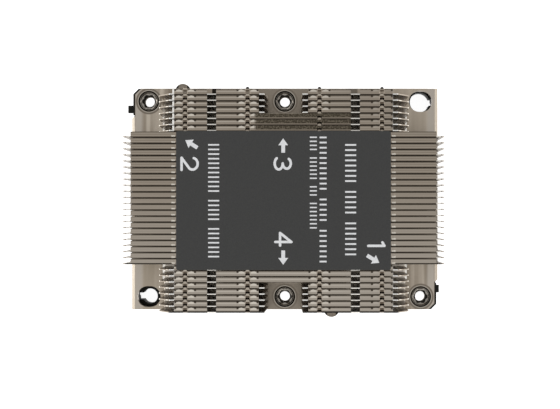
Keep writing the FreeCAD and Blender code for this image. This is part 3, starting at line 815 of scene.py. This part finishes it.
def rectangle(low_x, low_y, high_x, high_y):
    return [(low_x, low_y), (high_x, low_y), (high_x, high_y), (low_x, high_y)]


def round_off(piece, sharp_from):
    """Shade curved faces smooth and keep the edges sharp that turn by more than an angle."""
    for face in piece.data.polygons:
        face.use_smooth = True
    sharp = piece.modifiers.new("sharp_edges", "EDGE_SPLIT")
    sharp.split_angle = sharp_from


# Captive nuts, with a six-lobe drive and a thread

NUT_POINTS = 96
NUT_SHARP_FROM = math.radians(35)
head_height = 2.7 * MM
shank_step = 0.4 * MM
nut_chamfer = 0.2 * MM
rim_width = 0.25 * MM
funnel_depth = 0.4 * MM
funnel_wall_width = 0.34 * MM
funnel_floor_fall = 0.06 * MM
drive_lobes = 6
drive_tip_radius = 2.5 * MM
drive_root_radius = 2.1 * MM
drive_depth = 2.3 * MM
thread_crest_radius = 1.76 * MM
thread_root_radius = 1.94 * MM
thread_pitch = 0.7 * MM
THREAD_TURNS = 4
relief_radius = 2.3 * MM
relief_slope = 0.4 * MM


def drive_radius(angle):
    """Outline of the drive: round lobes and round roots."""
    wave = 0.5 + 0.5 * math.cos(drive_lobes * angle)
    lobe_fullness = 0.8
    return drive_root_radius + (drive_tip_radius - drive_root_radius) * wave ** lobe_fullness


def build_nut(shape, node):
    """Rings from the foot up the outside, then through the funnel, the drive and the thread."""
    low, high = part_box(node)
    centre = nut_axis(node)
    head_radius = (high.x - low.x) / 2
    shank_radius = head_radius - shank_step
    funnel_radius = head_radius - rim_width
    shoulder = high.z - head_height
    funnel_floor = high.z - funnel_depth
    drive_floor = high.z - drive_depth
    thread_end = drive_floor - THREAD_TURNS * thread_pitch
    outside = [
        (relief_radius, low.z),
        (shank_radius - nut_chamfer, low.z),
        (shank_radius, low.z + nut_chamfer),
        (shank_radius, shoulder),
        (head_radius, shoulder),
        (head_radius, high.z - nut_chamfer),
        (head_radius - nut_chamfer, high.z),
        (funnel_radius, high.z),
        (funnel_radius - funnel_wall_width, funnel_floor + funnel_floor_fall),
    ]
    thread = []
    for turn in range(THREAD_TURNS):
        turn_top = drive_floor - turn * thread_pitch
        thread.append((thread_crest_radius, turn_top))
        thread.append((thread_root_radius, turn_top - thread_pitch / 2))
    thread.append((thread_crest_radius, thread_end))
    thread.append((relief_radius, thread_end - relief_slope))

    def even_ring(radius, z):
        return ring_of_points(shape, centre, lambda _: radius, z, NUT_POINTS)

    rings = [even_ring(radius, z) for radius, z in outside]
    rings.append(ring_of_points(shape, centre, drive_radius, funnel_floor, NUT_POINTS))
    rings.append(ring_of_points(shape, centre, drive_radius, drive_floor, NUT_POINTS))
    rings.extend(even_ring(radius, z) for radius, z in thread)
    for first, second in zip(rings, rings[1:] + rings[:1]):
        join_rings(shape, first, second)


# Open retaining rings under the plate

RING_STEPS = 48
ring_inner_radius = 2.96 * MM
ring_outer_radius = 4.05 * MM
ring_thickness = 0.5 * MM
ring_edge = 0.08 * MM
ring_play = 0.1 * MM
ring_mouth_angle = math.radians(50)
pedestal_height = 1.5 * MM


def build_retaining_ring(shape, node):
    """A ring with broken edges and an open mouth, just clear of the plate's underside."""
    centre = nut_axis(node)
    top = plate_low.z + pedestal_height - ring_play
    bottom = top - ring_thickness
    section = [
        (ring_inner_radius + ring_edge, top),
        (ring_outer_radius - ring_edge, top),
        (ring_outer_radius, top - ring_edge),
        (ring_outer_radius, bottom + ring_edge),
        (ring_outer_radius - ring_edge, bottom),
        (ring_inner_radius + ring_edge, bottom),
        (ring_inner_radius, bottom + ring_edge),
        (ring_inner_radius, top - ring_edge),
    ]
    cuts = []
    for step in range(RING_STEPS + 1):
        angle = ring_mouth_angle / 2 + step * (math.tau - ring_mouth_angle) / RING_STEPS
        cuts.append([
            shape.verts.new((centre[0] + r * math.cos(angle), centre[1] + r * math.sin(angle), z))
            for r, z in section
        ])
    for first, second in zip(cuts, cuts[1:]):
        join_rings(shape, first, second)
    shape.faces.new(cuts[0])
    shape.faces.new(cuts[-1])


for nut_node, nut_body in NUTS.items():
    nut = new_piece(f"captive_{nut_node}", NUT_STEEL, nut_body, "nut_steel", build_nut, nut_node)
    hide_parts(nut_node)
    round_off(nut, NUT_SHARP_FROM)
    new_piece(
        f"retaining_ring_{nut_node}", SPRING_STEEL, nut_body, "nut_steel", build_retaining_ring, nut_node
    )


# Small forms on the fins

flange_reach = (fin_pitch - FIN_GAP) * MM
bridge_bottom = (fin_top - 0.38) * MM
bridge_top = (fin_top - 0.1) * MM
bead_width = 0.6
bead_length = (fin_pitch - 0.05) * MM
lip_bend = 0.12 * MM


def build_flange_lips(shape):
    """Rolled lips that end the flanges of the shortened fins at the rear left."""
    start = -SHORT_FLANGE_END * MM
    end = -LIP_END * MM
    for row_node in SHORT_ROWS:
        low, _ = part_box(row_node)
        if low.x < start and low.y > 0:
            outline = rectangle(start, low.y, end, low.y + flange_reach)
            extrude_outline(shape, outline, (fin_top - SHEET_THICKNESS) * MM, fin_top * MM)


def build_break_bridges(shape):
    """Half-sheared strips that close the flange breaks beside the label."""
    for row_node in FULL_ROWS:
        low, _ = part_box(row_node)
        wall_side = low.y + SHEET_THICKNESS * MM
        for start, end in ((-BREAK_END, -BREAK_START), (BREAK_START, BREAK_END)):
            outline = rectangle(start * MM, wall_side, end * MM, low.y + flange_reach)
            extrude_outline(shape, outline, bridge_bottom, bridge_top)


def build_solder_fillets(shape):
    """Sloped beads of solder at the feet's ends, on the shortened fins next to the full ones."""
    foot_top = (plate_top + SHEET_THICKNESS) * MM
    bead_bottom = plate_top * MM
    for row_node in SHORT_ROWS:
        low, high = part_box(row_node)
        if abs(low.y) > CORNER_ROWS_FROM * MM:
            continue
        for hand in (-1, 1):
            foot_end = hand * SHORT_END * MM
            bead_end = hand * (SHORT_END + bead_width) * MM
            if not low.x - MM < foot_end < high.x + MM:
                continue
            slopes = []
            for y in (low.y, low.y + bead_length):
                corners = [(foot_end, bead_bottom), (foot_end, foot_top), (bead_end, bead_bottom)]
                slopes.append([shape.verts.new((x, y, z)) for x, z in corners])
            join_rings(shape, *slopes)
            for triangle in slopes:
                shape.faces.new(triangle)


new_piece("flange_break_bridges", SHEET, "heatsink", "fin_sheet", build_break_bridges)
new_piece("solder_fillets", SOLDER, "heatsink", "fin_sheet", build_solder_fillets)
lips = new_piece("rolled_flange_lips", SHEET, "heatsink", "fin_sheet", build_flange_lips)
lip_bends = lips.modifiers.new("rolled_ends", "BEVEL")
lip_bends.width = lip_bend
lip_bends.segments = 2


# Label and its print. The film stops an ink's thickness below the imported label's top.

INK_THICKNESS = 0.012 * MM
film_top = label_high.z - INK_THICKNESS
LABEL_CORNER = 0.7 * MM


def rounded_box(low_x, low_y, high_x, high_y, radius, steps=6):
    """Corners of a rectangle whose own corners are rounded in steps."""
    outline = []
    corners = [
        (high_x - radius, high_y - radius, 0),
        (low_x + radius, high_y - radius, 90),
        (low_x + radius, low_y + radius, 180),
        (high_x - radius, low_y + radius, 270),
    ]
    for x, y, start in corners:
        for step in range(steps + 1):
            angle = math.radians(start + 90 * step / steps)
            outline.append((x + radius * math.cos(angle), y + radius * math.sin(angle)))
    return outline


def build_label(shape):
    outline = rounded_box(label_low.x, label_low.y, label_high.x, label_high.y, LABEL_CORNER)
    extrude_outline(shape, outline, label_low.z, film_top)


label = new_piece("instruction_label", FILM, "heatsink", "label_film", build_label)
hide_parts("label")

# The print reads with its top towards +X. Its places and sizes are in millimetres.
arrow_length = 4.8
arrow_head_length = 2.3
arrow_head_half = 1.65
arrow_shaft_half = 0.63

# Each arrow's tip and the way it points, in degrees
ARROWS = [
    ("arrow_to_rear_left", (-32.9, 19.4), 148),
    ("arrow_to_rear_middle", (-0.1, 20.0), 90),
    ("arrow_to_front_middle", (-0.1, -22.35), 270),
    ("arrow_to_front_right", (32.1, -21.7), -31),
]


def build_arrow(shape, tip, direction):
    turn = math.radians(direction)
    along = Vector((math.cos(turn), math.sin(turn)))
    across = Vector((-along.y, along.x))
    tip = Vector(tip)
    neck = tip - along * arrow_head_length
    tail = tip - along * arrow_length
    corners = [
        tip,
        neck + across * arrow_head_half,
        neck + across * arrow_shaft_half,
        tail + across * arrow_shaft_half,
        tail - across * arrow_shaft_half,
        neck - across * arrow_shaft_half,
        neck - across * arrow_head_half,
    ]
    outline = [(corner.x * MM, corner.y * MM) for corner in corners]
    extrude_outline(shape, outline, film_top, label_high.z)


for arrow_name, arrow_tip, arrow_direction in ARROWS:
    new_piece(arrow_name, INK, "heatsink", "label_film", build_arrow, arrow_tip, arrow_direction)


def arc(middle_right, middle_up, reach_right, reach_up, first, last, steps=14):
    """Points along part of an ellipse, from one angle in degrees to another."""
    angles = [math.radians(first + (last - first) * step / steps) for step in range(steps + 1)]
    return [(middle_right + reach_right * math.cos(a), middle_up + reach_up * math.sin(a)) for a in angles]


# Each digit's middle and its strokes, as right and up from the middle. A later stroke lies a
# step lower, so that no two faces share a place.
digit_stroke = 0.85
INK_STEP = 0.003 * MM
DIGITS = [
    ("digit_one", (31.1, -15.6), [[(-0.75, 2.05), (0.4, 2.7)], [(0.4, 2.7), (0.4, -2.7)]]),
    ("digit_two", (-31.45, 11.5), [
        arc(0.0, 0.95, 1.95, 1.75, 165, -35) + [(-2.0, -2.7)],
        [(-2.0, -2.7), (2.05, -2.7)],
    ]),
    ("digit_three", (-0.25, 11.5), [
        arc(-0.1, 1.35, 1.75, 1.35, 150, -90),
        arc(-0.1, -1.35, 2.0, 1.35, 90, -150),
    ]),
    ("digit_four", (-0.05, -13.8), [
        [(0.9, 2.7), (-2.1, -1.1)],
        [(-2.1, -1.1), (2.1, -1.1)],
        [(0.9, 2.7), (0.9, -2.7)],
    ]),
]


def stroke_outline(points, width, steps=8):
    """The rim of a round-ended line of one width along the points."""
    points = [Vector(point) for point in points]
    count = len(points)
    along = []
    for index in range(count):
        before = points[max(index - 1, 0)]
        after = points[min(index + 1, count - 1)]
        along.append((after - before).normalized())
    half = width / 2
    left = [point + half * Vector((-way.y, way.x)) for point, way in zip(points, along)]
    right = [point - half * Vector((-way.y, way.x)) for point, way in zip(points, along)]

    def round_end(point, way):
        heading = math.atan2(way.y, way.x)
        angles = [heading + math.pi / 2 - math.pi * step / steps for step in range(1, steps)]
        return [point + half * Vector((math.cos(angle), math.sin(angle))) for angle in angles]

    return left + round_end(points[-1], along[-1]) + right[::-1] + round_end(points[0], -along[0])


def build_digit(shape, middle, strokes):
    """A digit turned a quarter clockwise, like the rest of the print."""
    for order, stroke in enumerate(strokes):
        outline = [
            ((middle[0] + up) * MM, (middle[1] - right) * MM)
            for right, up in stroke_outline(stroke, digit_stroke)
        ]
        extrude_outline(shape, outline, film_top, label_high.z - order * INK_STEP)


# Lines of small print: the line's middle x, its height, its first and last y, and its word lengths
PRINT_LINES = [
    ("left_line", -23.4, 3.7, 18.1, -20.9, [11, 5, 7]),
    ("middle_line_one", 13.27, 2.35, 20.6, -22.7, [11, 5, 7]),
    ("middle_line_two", 10.0, 2.35, 20.6, -11.1, [4, 6, 3, 7]),
    ("right_line", 22.5, 3.7, 18.1, -20.3, [8, 5, 7]),
]

# Shares of one letter's room
TICK_WIDTH = 0.33
WORD_GAP = 1.1


def build_print_line(shape, middle, height, first, last, words):
    """A line of small print shown as plain upright ticks, grouped like words."""
    unit = (first - last) / (sum(words) + WORD_GAP * (len(words) - 1))
    low_x = (middle - height / 2) * MM
    high_x = (middle + height / 2) * MM
    y = first
    for word in words:
        for _ in range(word):
            outline = rectangle(low_x, y * MM, high_x, (y - unit * TICK_WIDTH) * MM)
            extrude_outline(shape, outline, film_top, label_high.z)
            y -= unit
        y -= unit * WORD_GAP


for digit_name, *digit in DIGITS:
    new_piece(digit_name, INK, "heatsink", "label_film", build_digit, *digit)
for line_name, *line in PRINT_LINES:
    new_piece(line_name, INK, "heatsink", "label_film", build_print_line, *line)


# Floor

floor_mesh = bpy.data.meshes.new("floor")
floor_reach = 2.0
floor_level = carrier_low.z - 0.02 * MM
floor_corners = [
    (x, y, floor_level) for x, y in rectangle(-floor_reach, -floor_reach, floor_reach, floor_reach)
]
floor_mesh.from_pydata(floor_corners, [], [(0, 1, 2, 3)])
floor_mesh.materials.append(white_paper())
floor = bpy.data.objects.new("floor", floor_mesh)
bpy.context.scene.collection.objects.link(floor)

# Room: metal mirrors it darker low down and towards the rear, and it is plain white where seen
DULL_LIGHT = 0.58
MIRRORED_LOW = 0.4
MIRRORED_HIGH = 0.8
MIRRORED_REAR_SHARE = 0.7
world = bpy.data.worlds.new("studio")
bpy.context.scene.world = world
world.use_nodes = True
sky = world.node_tree
sky.nodes.clear()
sky_path = add_node(sky, "ShaderNodeLightPath")
sky_place = add_node(sky, "ShaderNodeTexCoord")
sky_direction = add_node(sky, "ShaderNodeSeparateXYZ", {0: sky_place.outputs["Generated"]})
mirrored_up = add_node(sky, "ShaderNodeMapRange", {
    "Value": sky_direction.outputs["Z"],
    "From Min": 0.1,
    "From Max": 0.95,
    "To Min": MIRRORED_LOW,
    "To Max": MIRRORED_HIGH,
})
mirrored_back = add_node(sky, "ShaderNodeMapRange", {
    "Value": sky_direction.outputs["Y"],
    "From Min": -0.2,
    "From Max": 0.25,
    "To Min": 1.0,
    "To Max": MIRRORED_REAR_SHARE,
})
mirrored_level = add_node(sky, "ShaderNodeMath", {
    0: mirrored_up.outputs["Result"], 1: mirrored_back.outputs["Result"],
}, operation="MULTIPLY")
sky_level = add_node(sky, "ShaderNodeMix", {
    0: sky_path.outputs["Is Glossy Ray"], 2: DULL_LIGHT, 3: mirrored_level.outputs[0],
})
sky_seen = add_node(sky, "ShaderNodeMath", {
    0: sky_path.outputs["Is Camera Ray"], 1: sky_path.outputs["Is Transmission Ray"],
}, operation="MAXIMUM")
sky_strength = add_node(sky, "ShaderNodeMix", {
    0: sky_seen.outputs[0], 2: sky_level.outputs[0], 3: 1.0,
})
sky_light = add_node(sky, "ShaderNodeBackground", {
    "Color": linear_colour("#FFFFFF"), "Strength": sky_strength.outputs[0],
})
add_node(sky, "ShaderNodeOutputWorld", {"Surface": sky_light.outputs[0]})

# Lamps: each one's place, width, height and power
LAMP_TARGET = Vector((0, 0, 0.015))
LAMPS = [
    ("left_softbox", (-0.5, 0.02, 0.34), 0.4, 0.3, 0.65),
    ("right_softbox", (0.5, -0.02, 0.34), 0.4, 0.3, 0.4),
    ("rear_softbox", (-0.2, 0.5, 0.36), 0.5, 0.25, 0.5),
    ("front_softbox", (0.1, -0.5, 0.36), 0.5, 0.25, 0.5),
]


def add_lamp(name, place, width, height, power):
    light = bpy.data.lights.new(name, "AREA")
    light.shape = "RECTANGLE"
    light.size = width
    light.size_y = height
    light.energy = power
    lamp = bpy.data.objects.new(name, light)
    bpy.context.scene.collection.objects.link(lamp)
    lamp.location = place
    lamp.rotation_euler = (LAMP_TARGET - Vector(place)).to_track_quat("-Z", "Y").to_euler()


for lamp_values in LAMPS:
    add_lamp(*lamp_values)

# Camera straight above, with its picture shifted by pixels
IMAGE_WIDTH = 560
PIXELS_RIGHT = -28.0
PIXELS_UP = 10.5
camera_data = bpy.data.cameras.new("camera")
camera_data.sensor_width = 36
camera_data.lens = 72.6
camera_data.clip_start = 0.01
camera_data.shift_x = PIXELS_RIGHT / IMAGE_WIDTH
camera_data.shift_y = PIXELS_UP / IMAGE_WIDTH
camera = bpy.data.objects.new("camera", camera_data)
bpy.context.scene.collection.objects.link(camera)
camera.location = (8.21 * MM, -5.67 * MM, 0.404)
bpy.context.scene.camera = camera
bpy.context.scene.view_settings.view_transform = "Standard"
